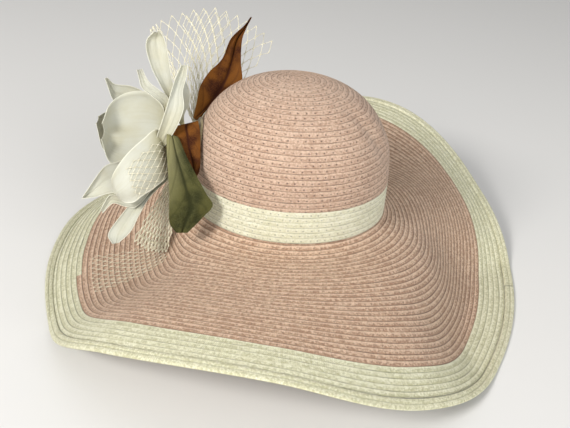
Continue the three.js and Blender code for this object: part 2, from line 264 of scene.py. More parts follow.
def fallAt(falls, share):
    near, middle, edge = falls[..., 0], falls[..., 1], falls[..., 2]
    a, b, c = sectionPlaces
    curve = (near * (share - b) * (share - c) / ((a - b) * (a - c))
             + middle * (share - a) * (share - c) / ((b - a) * (b - c))
             + edge * (share - a) * (share - b) / ((c - a) * (c - b)))
    fall = np.where(share > a, curve, near)
    turn = math.exp(-(share * brimWidth / form["footTurnReach"]) ** 2)
    return fall * (1 - turn) + form["footTurn"] * turn


def settle(height):
    soft = (height + form["settleWidth"]) ** 2 / (4 * form["settleWidth"])
    return np.where(height > form["settleWidth"], height, np.where(height < -form["settleWidth"], 0, soft))


class Brim:
    # reach and drop are added up once on a fine net, and looked up afterwards
    def __init__(self, columns=720, step=1.3):
        self.azimuths = np.linspace(0, 2 * math.pi, columns + 1)
        self.distances = np.arange(0, brimWidth + step, step)
        falls = sectionFalls(self.azimuths)
        reach = np.zeros((len(self.distances), columns + 1))
        drop = np.zeros_like(reach)
        for k in range(1, len(self.distances)):
            fall = np.radians(fallAt(falls, (self.distances[k] - step / 2) / brimWidth))
            reach[k] = reach[k - 1] + step * np.cos(fall)
            drop[k] = drop[k - 1] + step * np.sin(fall)
        self.reach, self.drop, self.step = reach, drop, step

    def look(self, table, azimuth, distance):
        columns = len(self.azimuths) - 1
        a = (azimuth / (2 * math.pi) % 1) * columns
        d = np.clip(distance / self.step, 0, len(self.distances) - 1.001)
        a0, d0 = np.floor(a).astype(int), np.floor(d).astype(int)
        fa, fd = a - a0, d - d0
        return ((table[d0, a0] * (1 - fa) + table[d0, a0 + 1] * fa) * (1 - fd)
                + (table[d0 + 1, a0] * (1 - fa) + table[d0 + 1, a0 + 1] * fa) * fd)

    def point(self, azimuth, distance, thickness):
        reach = self.look(self.reach, azimuth, distance)
        drop = self.look(self.drop, azimuth, distance)
        wide, deep, wall = form["crownHalfWidth"], form["crownHalfDepth"], form["strawWall"] / 2
        out = unit(np.stack([deep * np.cos(azimuth), wide * np.sin(azimuth)], -1))
        x = (wide - wall) * np.cos(azimuth) + out[..., 0] * reach
        y = (deep - wall) * np.sin(azimuth) + out[..., 1] * reach
        high = settle(footZ - form["footGap"] - drop - thickness / 2) + thickness / 2 - footZ
        return np.stack([x, y, high], -1)


brimForm = Brim()

# Braid: the rows of plait, each a shallow ribbon whose inner edge lies on the row before
braid = {
    "stepAzimuth": 196,    # degrees, where the rows step over by one
    "profile": [(0.0, -0.5), (0.06, 0.42), (0.28, 0.5), (0.62, 0.2), (0.97, -0.46)],  # across, height in mm
    "crownRelief": (0.4, 0.12), "bandRelief": (0.12, 0.12), "brimRelief": (0.45, 0.45),  # first and last row
    "reliefFade": 1.3,     # how the relief goes from its first to its last value
    "wobble": 0.3,         # mm, how unevenly the rows are sewn
    "heightWobble": 0.1,   # mm
    "lappedShare": 0.3,    # the part of a row that wanders with the sewing
    "evenShare": 0.025,    # the part of a turn that is sewn evenly, where the rows step over
    "brimLip": 1.1, "lipReach": 2.6,  # mm, the rise that closes the seam at the band's foot
    "patternShift": 61.7,  # mm, from one closed row to the next
    "crownColumns": 280, "brimColumns": 340, "columns": 480,  # points round the hat in the different pieces
    "wall": 0.9,           # mm, one thickness of plait
}


def wobbleAt(azimuth, row):  # a slow unevenness, different in every row
    return (np.sin(azimuth * 5 + row * 2.3) + np.sin(azimuth * 11 + row * 4.1)
            + 0.7 * np.sin(azimuth * 23 + row * 1.7)) / 2.7


def travel(points):  # the distance along a line of points, from its start
    return np.concatenate([[0], np.cumsum(np.linalg.norm(np.diff(points, axis=0), axis=-1))])


def outwards(surface, azimuths, distances, high, reach=0.4, turn=0.004):
    # the surface's normals, from its own slopes over so many mm and radians
    inner = surface(azimuths, np.maximum(distances - reach, 0))
    outer = surface(azimuths, np.minimum(distances + reach, high))
    side = surface(azimuths + turn, distances) - surface(azimuths - turn, distances)
    return unit(np.cross(side, inner - outer))


def braidPiece(name, surface, columns, firstRow, lastRow, high, relief, spiral=True, lip=0.0):
    # surface(azimuth, distance) gives points in mm, and the rows run outwards from distance 0
    step, pitch = math.radians(braid["stepAzimuth"]), form["rowPitch"]
    turns = np.linspace(0.0001, 0.9999, columns)
    azimuths = step + 2 * math.pi * turns
    shift = (0.5 - turns) if spiral else 0 * turns
    fade = np.minimum(1, np.minimum(turns, 1 - turns) / braid["evenShare"])
    rings, heights, uvs = [], [], []
    travelled = 0.0
    for row in range(firstRow, lastRow + 1):
        left = (lastRow - row) / (lastRow - firstRow)
        rowRelief = relief[1] + (relief[0] - relief[1]) * left ** braid["reliefFade"]
        around = travel(surface(azimuths, np.clip(pitch * (row + 0.5 + shift), 0, high)))
        uneven = wobbleAt(azimuths, row) * braid["wobble"] * fade
        for share, height in braid["profile"]:
            # the lapped edge wanders, the body lies still
            edgeShare = max(1 - share / braid["lappedShare"], 0)
            rings.append(np.clip(pitch * (row + share + shift) + uneven * edgeShare, 0, high))
            lift = braid["heightWobble"] * wobbleAt(azimuths * 3 + share, row + 7) * fade
            heights.append(height * rowRelief + lift)
            uvs.append(np.stack([travelled + around, np.full(columns, (row + share) * pitch)], -1))
        travelled += -around[-1] if spiral else braid["patternShift"]
    rings, heights, uvs = np.array(rings), np.array(heights), np.array(uvs)
    heights += lip * np.maximum(0, 1 - rings / braid["lipReach"])
    places = azimuths + 0 * rings
    points = surface(places, rings) + outwards(surface, places, rings, high) * heights[..., None]
    item = meshPiece(name, toHat(points.reshape(-1, 3)), gridFaces(len(rings), columns), uvs.reshape(-1, 2))
    mergePoints(item)
    return item


def crownProfile():  # distance along the dome from its tip, and the height there
    turn = np.linspace(0, math.pi / 2, 400)
    heights = form["crownHeight"] - (form["crownHeight"] - bandHeight) * (1 - np.cos(turn))
    mean = (form["crownHalfWidth"] + form["crownHalfDepth"]) / 2
    return travel(np.stack([heights, mean * domeShare(heights)], -1)), heights


crownAlong, crownHeights = crownProfile()
crownRows = round(crownAlong[-1] / form["rowPitch"])
crownKnob = {"height": 1.3, "reach": 5}  # mm, the braid's start, gathered at the tip
bandDent = 0.3                           # the share of the dents that the band takes part in
dents = [  # azimuth, height, width round, width up, depth in mm and lean: the crown's soft dents
    (-28, 88, 6.5, 25, 4.0, -0.4), (-11, 84, 8, 28, -1.4, -0.4), (-52, 84, 12, 32, -1.0, -0.2),
    (150, 60, 26, 30, 1.0, 0.0), (80, 80, 24, 26, 0.8, 0.0),
]


def dentAt(azimuth, height):
    total = 0
    for place, level, wide, tall, depth, lean in dents:
        away = (np.degrees(azimuth) - place - lean * (height - level) + 180) % 360 - 180
        total = total - depth * np.exp(-(away / wide) ** 2 - ((height - level) / tall) ** 2)
    return total


def crownSurface(azimuth, distance):
    height = np.interp(distance * crownAlong[-1] / (crownRows * form["rowPitch"]), crownAlong, crownHeights)
    knob = crownKnob["height"] * np.exp(-(distance / crownKnob["reach"]) ** 2)
    dent = dentAt(azimuth, height) * domeShare(height)
    return crownPoint(azimuth, height, knob - form["strawWall"] / 2 + dent)


def bandSurface(azimuth, distance):
    height = bandHeight - distance
    return crownPoint(azimuth, height, -form["strawWall"] / 2 + dentAt(azimuth, height) * bandDent)


def brimSurface(azimuth, distance):
    return brimForm.point(azimuth, distance, form["strawWall"])


# Straw: plaited strands with a stitched line along every row
plaitValues = {
    "strand": 1.5,              # mm, from one strand to the next
    "slant": 0.85,
    "stitch": 7.0,              # mm between two stitches
    "stitchWander": 0.25,
    "stitchRow": 0.55,          # how far across the row they lie
    "stitchSize": (0.45, 0.9),  # mm, where a stitch's hole starts to close, and where it ends
    "creaseTone": 0.3,          # how dark the painted shade in a crease and in a stitch hole is, against the deep tone
    "cloudSize": 26.0,
    "roughness": (0.48, 0.7),
    "plaitDepth": 0.4, "cellDepth": 0.15, "holeDepth": 0.6,  # mm
}
borderTones = {"base": (232, 230, 198), "deep": (184, 181, 140), "light": (246, 245, 222)}
straws = {  # holes, lapLightAndShade, line and grain are strengths (holes, line and lapLightAndShade set painted shade and painted highlight), creaseShadeWidth is the share of a row that the painted shade of its crease takes,
    # and a fleck of light or dark straw is so many mm long, with so many side by side in a row
    "pinkStrawCrown": {"base": (217, 187, 163), "deep": (160, 123, 99), "light": (241, 216, 194),
                       "holes": 1.0, "lapLightAndShade": 0.36, "line": 1.0, "grain": 0.5, "creaseShadeWidth": 0.11,
                       "fleckLong": 1.3, "fleckRows": 4.0},
    # the brim's pink: the crown's same straw made a little darker, as painted shade
    "pinkStrawBrim": {"base": (214, 181, 152), "deep": (156, 118, 92), "light": (238, 211, 185),
                      "holes": 0.5, "lapLightAndShade": 1.0, "line": 0.9, "grain": 0.85, "creaseShadeWidth": 0.2,
                      "fleckLong": 2.4, "fleckRows": 2.0},
    # the band's cream: the border's same straw made lighter, as painted light
    "creamStrawBand": {"base": (247, 247, 220), "deep": (206, 203, 166), "light": (252, 251, 236),
                       "holes": 0.6, "lapLightAndShade": 0.35, "line": 0.65, "grain": 0.5, "creaseShadeWidth": 0.1,
                       "fleckLong": 1.4, "fleckRows": 4.0},
    "creamStrawBorder": {**borderTones, "holes": 0.15, "lapLightAndShade": 0.75, "line": 0.75, "grain": 0.75,
                         "creaseShadeWidth": 0.16, "fleckLong": 2.0, "fleckRows": 2.0},
    "creamStrawEdge": {**borderTones, "holes": 0.12, "lapLightAndShade": 0.3, "line": 0.35, "grain": 0.65,
                       "creaseShadeWidth": 0.12, "fleckLong": 1.6, "fleckRows": 3.0},
}


def strawMaterial(name):
    t, v, look = Tree(name), plaitValues, straws[name]
    base, deep, light = colour(*look["base"]), colour(*look["deep"]), colour(*look["light"])
    # the colour of the painted shade in the creases and the stitch holes
    dark = tuple(c * v["creaseTone"] for c in deep[:3]) + (1.0,)
    lapLightAndShade, grain, pitch = look["lapLightAndShade"], look["grain"], form["rowPitch"]
    along, across = t.onCloth()
    row = (across / pitch).math("FLOOR")
    rowShare = across / pitch - row
    # two families of strands at a slant, over and under each other
    first = (along * v["slant"] + across) / v["strand"]
    second = (along * v["slant"] - across) / v["strand"]
    cellA, cellB = first.math("FLOOR"), second.math("FLOOR")
    over = (cellA + cellB) % 2.0
    ridgeA = ((first - cellA) * math.pi).math("SINE")
    ridgeB = ((second - cellB) * math.pi).math("SINE")
    plait = ridgeA * over + ridgeB * (1 - over)
    cell = t.scatter(cellA, cellB, row)
    rowTone = t.node("ShaderNodeTexWhiteNoise", {"noise_dimensions": "1D"}, {"W": row + 0.5})
    # stitches: small holes in a line, each row with its own start, their dark painted as shade
    reach = along / v["stitch"] + rowTone * 3.0
    number = reach.math("FLOOR")
    seen = t.scatter(number, row, 3.0)
    awayAlong = (reach - number - 0.5 + (seen - 0.5) * v["stitchWander"]) * v["stitch"]
    awayAcross = (rowShare - v["stitchRow"]) * pitch
    away = (awayAlong * awayAlong + awayAcross * awayAcross * 1.2).math("SQRT")
    hole = t.ramp(away, *v["stitchSize"], 1.0, 0.0) * t.ramp(seen, 0.05, 0.6, 0.5, 1.0) * look["holes"]
    # flecks: short lengths of lighter and darker straw
    fleck = t.scatter((along / look["fleckLong"] + rowTone * 7.0).math("FLOOR"), row,
                      (rowShare * look["fleckRows"]).math("FLOOR"))
    # the lapped edge, in painted light and shade: painted shade in the crease, a painted highlight on the rim
    # outside it, and painted shade that deepens over the body towards the next crease
    crease = t.ramp(rowShare, 0.97 - look["creaseShadeWidth"], 0.97, 0.0, 1.0) + t.ramp(rowShare, 0.0, 0.07, 1.0, 0.0)
    crease = crease * t.ramp(fleck, 0.0, 0.8, 0.25, 1.0)
    rim = t.ramp(rowShare, 0.05, 0.13, 0.0, 1.0) * t.ramp(rowShare, 0.2, 0.42, 1.0, 0.0)
    cloud = t.noise(t.onPiece(), v["cloudSize"], 3.0)
    patch = t.noise(t.vector(along * 0.06, row * 3.7, 0.0), 1.0)
    tone = t.layers(base,
                    (t.ramp(cloud, 0.35, 0.7, 0.0, 0.35), light),
                    (t.ramp(patch, 0.3, 0.75, 0.0, 0.35), deep),
                    (t.ramp(cell, 0.0, 0.55, grain, 0.0), deep),
                    (t.ramp(cell, 0.5, 1.0, 0.0, grain), light),
                    (t.ramp(fleck, 0.0, 0.5, grain * 0.6, 0.0), deep),
                    (t.ramp(fleck, 0.6, 1.0, 0.0, grain * 0.8), light),
                    # painted highlight on the row's rim, and painted shade over its body
                    (rim * (0.6 * lapLightAndShade), light),
                    (t.ramp(rowShare, 0.4, 0.95, 0.0, 0.5 * lapLightAndShade), deep),
                    # painted shade in the grooves between the strands
                    (t.ramp(plait, 0.1, 0.75, 0.6, 0.0), deep),
                    # painted shade in the crease
                    (crease * look["line"], dark),
                    # painted shade in the stitch holes
                    (hole, dark))
    t.surface(Base_Color=tone, Roughness=t.ramp(cell, 0.1, 0.9, *v["roughness"]), Sheen_Weight=0.1,
              Specular_IOR_Level=0.35)
    t.bump(plait * v["plaitDepth"] + cell * v["cellDepth"] - hole * v["holeDepth"], 1.0)
    return t.material


def finishStraw(item, node, look):
    shell(item, braid["wall"])
    finishPiece(item, [node], strawMaterial(look))
    print(item.name, len(item.data.polygons))


crown = braidPiece("straw_crown", crownSurface, braid["crownColumns"], -1, crownRows,
                   crownRows * form["rowPitch"] - seamGap, braid["crownRelief"])
finishStraw(crown, "crown", "pinkStrawCrown")
band = braidPiece("straw_band", bandSurface, braid["columns"], 0, form["bandRows"] - 1,
                  bandHeight - seamGap, braid["bandRelief"], spiral=False)
finishStraw(band, "crown_band", "creamStrawBand")
brimEnd = form["brimRows"]
brim = braidPiece("straw_brim", brimSurface, braid["brimColumns"], -1, brimEnd - 1,
                  brimWidth, braid["brimRelief"], lip=braid["brimLip"])
finishStraw(brim, "brim", "pinkStrawBrim")
borderEnd = brimEnd + form["borderRows"]
border = braidPiece("straw_border", brimSurface, braid["columns"], brimEnd, borderEnd,
                    borderEnd * form["rowPitch"], braid["brimRelief"])
finishStraw(border, "brim_border", "creamStrawBorder")

# The turned edge: a rounded welt two rows wide, folded round the brim's rim
edge = {
    "start": 0.8, "thickness": 3.6, "wobble": 0.05,      # mm
    "columns": 480,
    "rowsSeen": 1.78, "rowStart": 0.06, "rowsUnder": 2,  # where the braid's rows fall on it
    # round the section, across and height: from the crease over the top to the rim, and back underneath
    "top": [(0.0, -0.3), (0.02, 0.2), (0.06, 0.62), (0.16, 0.9), (0.34, 0.98), (0.47, 0.84), (0.5, 0.66),
            (0.53, 0.84), (0.66, 0.98), (0.84, 0.92), (0.93, 0.7), (0.98, 0.35), (1.0, 0.0)],
    "under": [(0.98, -0.35), (0.93, -0.7), (0.84, -0.9), (0.5, -0.95), (0.16, -0.9), (0.03, -0.8)],
}


def weltSurface(azimuth, distance):
    return brimForm.point(azimuth, distance, edge["thickness"])


def edgePiece():
    inner = borderEnd * form["rowPitch"] + edge["start"]
    azimuths = np.linspace(0, 2 * math.pi, edge["columns"], endpoint=False)
    section = np.array(edge["top"] + edge["under"])
    share, height, order = section[:, :1], section[:, 1:], np.arange(len(section))[:, None]
    rings = inner + (brimWidth - inner) * share + 0 * azimuths
    places = azimuths + 0 * rings
    heights = height * edge["thickness"] / 2 + edge["wobble"] * wobbleAt(azimuths, order)
    normal = outwards(weltSurface, places, rings, brimWidth, reach=0.6)
    points = weltSurface(places, rings) + normal * heights[..., None]
    around = travel(weltSurface(azimuths, (inner + brimWidth) / 2 + 0 * azimuths))
    under = np.where(order < len(edge["top"]), 0, edge["rowsUnder"])
    rows = edge["rowsSeen"] * share + edge["rowStart"] + under
    uvs = np.stack([around + 0 * rings, rows * form["rowPitch"] + 0 * rings], -1)
    count, wide = rings.shape
    faces = gridFaces(count, wide, True)
    for i in range(wide):
        k = (i + 1) % wide
        faces.append(((count - 1) * wide + i, (count - 1) * wide + k, k, i))
    return meshPiece("straw_edge", toHat(points.reshape(-1, 3)), [face[::-1] for face in faces],
                     uvs.reshape(-1, 2))


edgeItem = edgePiece()
finishPiece(edgeItem, ["brim_edge"], strawMaterial("creamStrawEdge"), angle=50)
print("straw_edge", len(edgeItem.data.polygons))

# The flower: its own frame leans back on the crown's side, X right, Y up and Z forward
flowerFrame = {"lean": 29.5, "roll": 4.5, "place": (-114.0, -20.0, 60.0)}  # degrees, and mm round the axis
lean, roll = math.radians(flowerFrame["lean"]), math.radians(flowerFrame["roll"])
forward = np.array([0, math.cos(lean), -math.sin(lean)])
upward = np.array([0, math.sin(lean), math.cos(lean)])
sideways = np.array([1.0, 0, 0])
frameX = math.cos(roll) * sideways + math.sin(roll) * upward
frameY = -math.sin(roll) * sideways + math.cos(roll) * upward
frameZ = -forward
flowerPlace = np.array(flowerFrame["place"])
flowerBase = {"azimuth": 189, "height": 60, "halfLength": 27, "halfHeight": 21, "thickness": 2,
              "cupRise": 25, "cupReach": 0.64, "gap": 0.7, "rings": 20, "spokes": 48}


def fromFlower(points):
    points = np.asarray(points, float)
    return flowerPlace + points[..., :1] * frameX + points[..., 1:2] * frameY + points[..., 2:3] * frameZ


def toFlower(points):
    away = np.asarray(points, float) - flowerPlace
    return np.stack([away @ frameX, away @ frameY, away @ frameZ], -1)


# Camera: the photograph's angle and lens; its place is also where the petals' outlines are seen from
view = {"lens": 50.526, "sensor": 36, "distance": 780, "aimX": -2.925, "aimY": -15.6}
viewPlace = view["aimX"] * frameX + view["aimY"] * frameY - view["distance"] * forward
eye = toFlower(viewPlace)


def basePoint(turn, share, lift, outer=True):
    b = flowerBase
    azimuth = math.radians(b["azimuth"]) + b["halfLength"] * share * np.cos(turn) / form["crownHalfWidth"]
    height = b["height"] + b["halfHeight"] * share * np.sin(turn)
    climb = np.sqrt(np.maximum(0, 1 - (share / b["cupReach"]) ** 2))
    out = b["gap"] + lift + ((b["thickness"] + b["cupRise"] * climb) if outer else 0)
    return crownPoint(azimuth, height, out)


# Petals and leaves: both edges as seen from the front, seat to tip, each pair at its depth, in mm
petals = [
    dict(name="petal_cup", turn=170, seat=0.15, lift=1, cup=15, ripple=1.0, roll=1.6, fold=0,
         left=[(-3, 29), (-16, 43), (-36, 43), (-51, 33), (-58, 15)],
         right=[(-9, -10), (-22, -24), (-40, -27), (-53, -18), (-59, 1)], depth=[-14, -18, -19, -16, -10]),
    dict(name="petal_behind", turn=180, seat=0.54, lift=2.8, cup=4, ripple=1.0, roll=1.0, fold=0,
         left=[(-7, 30), (-25, 34), (-45, 31), (-57, 26), (-63, 22)],
         right=[(-9, -4), (-25, -15), (-45, -17), (-59, -7), (-65, 16)], depth=[-30, -38, -40, -36, -28]),
    dict(name="petal_spike", turn=140, seat=0.54, lift=3.4, cup=3, ripple=0.8, roll=1.2, fold=1.0,
         left=[(-7, 34), (-18, 43), (-33, 50), (-48, 52), (-55, 58)],
         right=[(-16, 26), (-27, 29), (-40, 32), (-50, 38), (-57, 57)], depth=[-22, -29, -31, -28, -20]),
    dict(name="petal_curl", turn=80, seat=0.26, lift=2.4, cup=2, ripple=0.4, roll=1.0, fold=0.8,
         left=[(-4, 30), (-13, 40), (-23, 48), (-26, 57), (-28, 65)],
         right=[(1, 37), (-7, 46), (-16, 53), (-20, 59), (-23, 66)], depth=[2, 3, 4, 4, 7]),
    dict(name="petal_top", turn=88, seat=0.51, lift=2.1, cup=5, ripple=1.0, roll=1.6, fold=0.9,
         left=[(0, 38), (-7, 52), (-14, 66), (-19, 83), (-18, 93), (-12, 99)],
         right=[(7, 44), (4, 58), (2, 71), (0, 83), (-3, 94), (-7, 100)], depth=[-2, -6, -9, -10, -10, -8]),
    dict(name="petal_shadow", turn=108, seat=0.59, lift=2.2, cup=-2, ripple=0.6, roll=0.6, fold=0.4,
         left=[(5, 25), (6, 38), (8, 51), (11, 61)],
         right=[(15, 24), (20, 36), (19, 48), (14, 60)], depth=[-12, -19, -24, -26]),
    dict(name="petal_right", turn=350, seat=0.34, lift=2.8, cup=3, ripple=0.8, roll=2.2, fold=-0.6,
         left=[(-11, -3), (-5, 17), (0, 33), (4, 46), (8, 58), (13, 69)],
         right=[(-2, -4), (9, 13), (15, 30), (14, 45), (17, 57), (19, 69)], depth=[14, 20, 22, 19, 14, 10]),
    dict(name="petal_front", turn=312, seat=0.42, lift=2.0, cup=-9, ripple=0.8, roll=1.2, fold=0,
         left=[(-10, 11), (-24, 2), (-36, -9), (-46, -22), (-52, -34), (-50, -45)],
         right=[(0, -30), (-12, -42), (-24, -50), (-32, -56), (-40, -56), (-46, -51)],
         depth=[18, 28, 33, 32, 27, 20]),
    dict(name="petal_left", turn=262, seat=0.20, lift=1.1, cup=3, ripple=0.9, roll=1.2, fold=1.0,
         left=[(-20, -5), (-35, -15), (-46, -19), (-57, -23), (-67, -36), (-77, -51)],
         right=[(-14, -22), (-29, -40), (-42, -46), (-53, -48), (-65, -51), (-78, -53)],
         depth=[-2, 2, 5, 6, 6, 6]),
    dict(name="petal_low", turn=278, seat=0.41, lift=0.9, cup=2, ripple=0.5, roll=1.0, fold=0.8,
         left=[(-16, -32), (-30, -49), (-42, -51), (-53, -50), (-61, -63)],
         right=[(-12, -40), (-27, -59), (-38, -60), (-50, -57), (-59, -66)], depth=[4, 10, 12, 13, 14]),
    dict(name="petal_hanging", turn=284, seat=0.59, lift=1.8, cup=3, ripple=0.9, roll=1.2, fold=1.2,
         left=[(-9, -33), (-22, -47), (-33, -57), (-43, -69), (-54, -85), (-50, -94)],
         right=[(2, -33), (-9, -44), (-18, -54), (-26, -68), (-33, -82), (-44, -93)],
         depth=[-2, 4, 8, 13, 18, 22]),
]
leaves = [
    dict(name="leaf_upper", turn=125, seat=0.92, lift=3.6, cup=3, ripple=1.2, roll=1.0, fold=3.0,
         left=[(27, 36), (30, 50), (38, 63), (50, 75), (58, 93), (70, 105), (76, 113)],
         right=[(40, 22), (58, 34), (68, 52), (67, 73), (68, 92), (72, 103), (77, 113)],
         depth=[-22, -34, -44, -50, -51, -48, -44]),
    dict(name="leaf_side", turn=76, seat=0.9, lift=3.0, cup=2, ripple=0.5, roll=0.6, fold=1.4,
         left=[(6, 13), (6, 3), (9, -7), (14, -18), (18, -27), (23, -34)],
         right=[(28, 18), (30, 6), (30, -6), (30, -17), (29, -27), (25, -36)],
         depth=[12, 16, 19, 20, 19, 18]),
    dict(name="leaf_lower", turn=20, seat=0.45, lift=2.2, cup=-4, ripple=1.4, roll=1.0, fold=2.4,
         left=[(-1, 6), (-1, -13), (0, -31), (1, -50), (1, -64), (2, -76), (8, -84)],
         right=[(9, 4), (17, -14), (27, -33), (35, -48), (41, -59), (31, -71), (18, -84)],
         depth=[20, 31, 37, 38, 36, 33, 30]),
]
petalNet = {"columns": 25, "rows": 57, "wall": 0.45}
petalForm = {
    "stalk": 1.7,                       # mm, half the width at the seat
    "offBraid": 1.4,                    # mm, how far a petal that leans on the crown stays off its braid
    "opening": 3,                       # how soon a petal opens from its seat
    "bowlRest": 0.3, "bowlFade": 0.4,   # where the bowl starts to rise, and what it loses towards the tip
    "ribWidth": 0.18,
    "pleatDepth": 0.35, "pleats": 9,    # mm, and radians from side to side
    "waveDepth": 0.8, "waves": 11,      # mm, and radians from seat to tip
    "dentDepth": 0.5, "dents": 6.3,
    "rollStart": 0.84, "rollRise": 6,   # where the rim starts to roll over, and how much
    "tipStart": 0.88, "tipRise": 36,
}


def smoothChain(chain, v):  # a smooth line through the points, v from 0 to 1
    chain = np.asarray(chain, float)
    chain = np.concatenate([[2 * chain[0] - chain[1]], chain, [2 * chain[-1] - chain[-2]]])
    place = v * (len(chain) - 3)
    part = np.minimum(np.floor(place).astype(int), len(chain) - 4)
    t = (place - part)[..., None]
    p0, p1, p2, p3 = (chain[part + k] for k in range(4))
    return 0.5 * (2 * p1 + (p2 - p0) * t + (2 * p0 - 5 * p1 + 4 * p2 - p3) * t ** 2
                  + (3 * p1 - p0 - 3 * p2 + p3) * t ** 3)


def alongSight(seen, depth):  # a point seen at the flower's own distance, moved to its depth
    flat = np.array([seen[0], seen[1], 0.0])
    return flat + (eye - flat) * depth / eye[2]


def offCrown(points):
    hat = fromFlower(points)
    share, gap = domeShare(hat[..., 2]), petalForm["offBraid"]
    away = np.hypot(hat[..., 0] / (form["crownHalfWidth"] * share + gap),
                    hat[..., 1] / (form["crownHalfDepth"] * share + gap))
    inside = (away < 1) & (hat[..., 2] < form["crownHeight"])
    hat[..., :2] /= np.where(inside, np.maximum(away, 0.2), 1)[..., None]
    return toFlower(hat)


def petalPoint(petal, u, v):
    f = petalForm
    seat = toFlower(basePoint(math.radians(petal["turn"]), petal["seat"], petal["lift"]))
    left = [alongSight(p, d) for p, d in zip(petal["left"], petal["depth"])]
    right = [alongSight(p, d) for p, d in zip(petal["right"], petal["depth"])]
    across = (right[0] - left[0]) / np.linalg.norm(right[0] - left[0]) * f["stalk"]
    points = (smoothChain([seat - across] + left, v) * (1 - u)[..., None]
              + smoothChain([seat + across] + right, v) * u[..., None])
    # soft forms: the bowl, a fold along the rib, pleats gathered at the seat, and a waved rim that rolls over
    side = 2 * u - 1
    spread = np.minimum(1, f["opening"] * v)
    seed = len(petal["name"]) * 1.7 + petal["turn"] * 0.13
    bowl = petal["cup"] * (side * side - f["bowlRest"]) * (1 - f["bowlFade"] * v)
    fold = petal["fold"] * np.exp(-(side / f["ribWidth"]) ** 2)
    gather = np.sin(math.pi * np.minimum(v * 1.6, 1)) * (1 - 0.5 * v)
    pleats = f["pleatDepth"] * np.sin(side * f["pleats"] + seed) * gather
    wave = f["waveDepth"] * np.abs(side) ** 3 * np.sin(v * f["waves"] + seed + 2.1 * side)
    dent = f["dentDepth"] * np.sin(v * f["dents"] + seed * 2 + 3 * side) * np.cos(side * 3.1 + seed)
    rolled = petal["roll"] * np.maximum(np.abs(side) - f["rollStart"], 0) * f["rollRise"]
    tip = petal["roll"] * np.maximum(v - f["tipStart"], 0) ** 1.5 * f["tipRise"]
    points[..., 2] += spread * (bowl - fold + petal["ripple"] * (pleats + wave + dent) + rolled) + tip
    return offCrown(points)


def petalPiece(petal, material):
    u, v = np.meshgrid(np.linspace(0, 1, petalNet["columns"]), np.linspace(0, 1, petalNet["rows"]))
    points = petalPoint(petal, u, v)
    item = meshPiece(petal["name"].replace("petal", "silk").replace("leaf", "velvet_leaf"),
                     toHat(fromFlower(points)).reshape(-1, 3), gridFaces(*u.shape),
                     np.stack([u, v], -1).reshape(-1, 2))
    shell(item, petalNet["wall"])
    finishPiece(item, [petal["name"]], material, angle=60)


# seat is the colour of the painted shade towards a petal's seat, rim that of the painted highlight along its
# edges
silk = {"ivory": (192, 193, 181), "warm": (182, 178, 152), "seat": (142, 134, 88), "rim": (232, 232, 216),
        "veins": 22.0, "cloudSize": 45.0, "weaveSize": 1500.0, "veinDepth": 0.5, "weaveDepth": 0.05}
velvet = {"cloudSize": 60.0, "pileSize": 1400.0, "veins": 26.0, "veinSlant": 14.0,
          "pileDepth": 0.12, "ribDepth": 0.35, "veinDepth": 0.15}
velvets = {  # seatReach is how far the seat's tone runs towards the tip
    "brownVelvet": {"light": (104, 62, 20), "dark": (48, 20, 12), "pile": (136, 86, 34),
                    "seat": (116, 74, 26), "seatReach": 0.5},
    "greenVelvet": {"light": (74, 73, 38), "dark": (42, 44, 22), "pile": (100, 100, 66),
                    "seat": (142, 138, 100), "seatReach": 0.85},
}


def silkMaterial():
    t = Tree("ivorySilk")
    side, share = t.onCloth()
    place = t.onPiece()
    veins = t.noise(t.vector(side * silk["veins"], share * 1.6, 0.0), 1.0, 3.0, 0.6)
    cloud, weave = t.noise(place, silk["cloudSize"], 3.0), t.noise(place, silk["weaveSize"])
    # a painted highlight along the petal's edges
    rim = t.ramp((side - 0.5).math("ABSOLUTE"), 0.46, 0.495, 0.0, 1.0)
    warm = colour(*silk["warm"])
    tone = t.layers(colour(*silk["ivory"]),
                    (t.ramp(cloud, 0.35, 0.75, 0.0, 0.6), warm),
                    (t.ramp(veins, 0.45, 0.8, 0.0, 0.4), warm),
                    # painted shade, darker towards the petal's seat
                    (t.ramp(share, 0.0, 0.4, 0.9, 0.0), colour(*silk["seat"])),
                    (rim * 0.6, colour(*silk["rim"])))
    t.surface(Base_Color=tone, Roughness=t.ramp(veins, 0.2, 0.8, 0.55, 0.72), Sheen_Weight=0.1,
              Specular_IOR_Level=0.25)
    t.bump(veins * silk["veinDepth"] + weave * silk["weaveDepth"], 0.8)
    return t.material


def velvetMaterial(name):
    t, look = Tree(name), velvets[name]
    side, share = t.onCloth()
    place = t.onPiece()
    cloud, pile = t.noise(place, velvet["cloudSize"], 3.0), t.noise(place, velvet["pileSize"])
    fromRib = (side - 0.5).math("ABSOLUTE")
    # rib: the fold along the leaf's middle, darkened as painted shade and pressed in by the bump
    rib = t.ramp(fromRib, 0.0, 0.08, 1.0, 0.0)
    veins = (share * velvet["veins"] - fromRib * velvet["veinSlant"]).math("SINE")
    dark = colour(*look["dark"])
    tone = t.layers(colour(*look["light"]),
                    (t.ramp(cloud, 0.35, 0.68, 0.0, 1.0), dark),
                    (t.ramp(pile, 0.4, 0.7, 0.0, 0.25), colour(*look["pile"])),
                    (t.ramp(share + side * 0.5, 0.1, look["seatReach"], 0.85, 0.0), colour(*look["seat"])),
                    (rib * 0.9, dark),
                    (t.ramp(veins, 0.8, 1.0, 0.0, 0.25), dark))
    t.surface(Base_Color=tone, Roughness=t.ramp(cloud, 0.3, 0.7, 0.65, 0.85), Specular_IOR_Level=0.1)
    t.bump(pile * velvet["pileDepth"] - rib * velvet["ribDepth"]
           + t.ramp(veins, 0.7, 1.0, 0.0, -velvet["veinDepth"]), 0.8)
    return t.material


